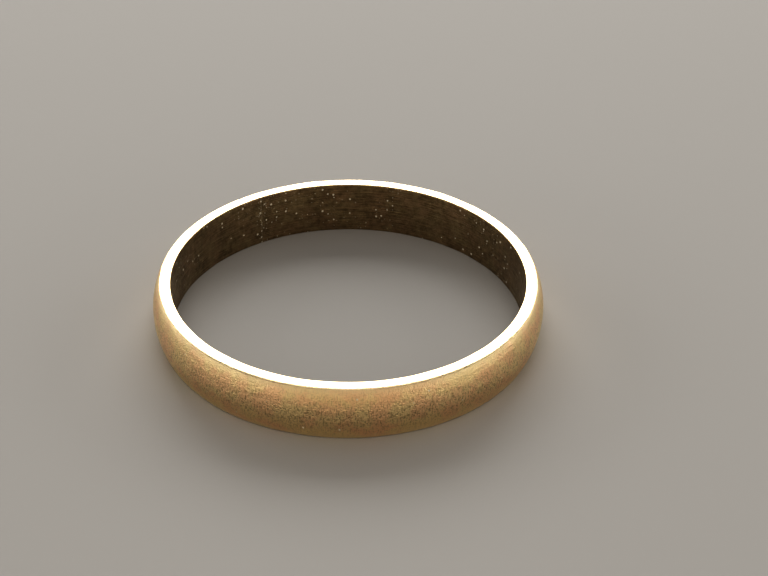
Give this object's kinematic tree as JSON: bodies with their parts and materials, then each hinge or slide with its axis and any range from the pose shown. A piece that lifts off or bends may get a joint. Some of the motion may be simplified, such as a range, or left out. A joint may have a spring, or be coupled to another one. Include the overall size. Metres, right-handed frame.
{
  "type": "wedding band",
  "caption": "Plain gold finger ring of D section: straight wall inside, narrow flat rims, domed outside with worn edges, closed by a soldered joint.",
  "frame": {"origin": "centre of the finger hole, in the plane of the lower rim that the band lies on", "axes": "+Z along the finger's axis, from the lower rim to the upper rim; the soldered joint is 122 degrees from +X towards +Y"},
  "size_m": [0.0204, 0.0204, 0.003],
  "materials": {
    "gold_alloy": "worn satin yellow gold: the rims are rubbed bright, the dome is matte with a fine grain, and fine scratches run round the bore",
    "gold_solder": "satin, a shade paler than the shank, filed and polished flush with it"
  },
  "bodies": {
    "root": {"shank": "gold_alloy", "solder_seam": "gold_solder"}
  },
  "joints": []
}
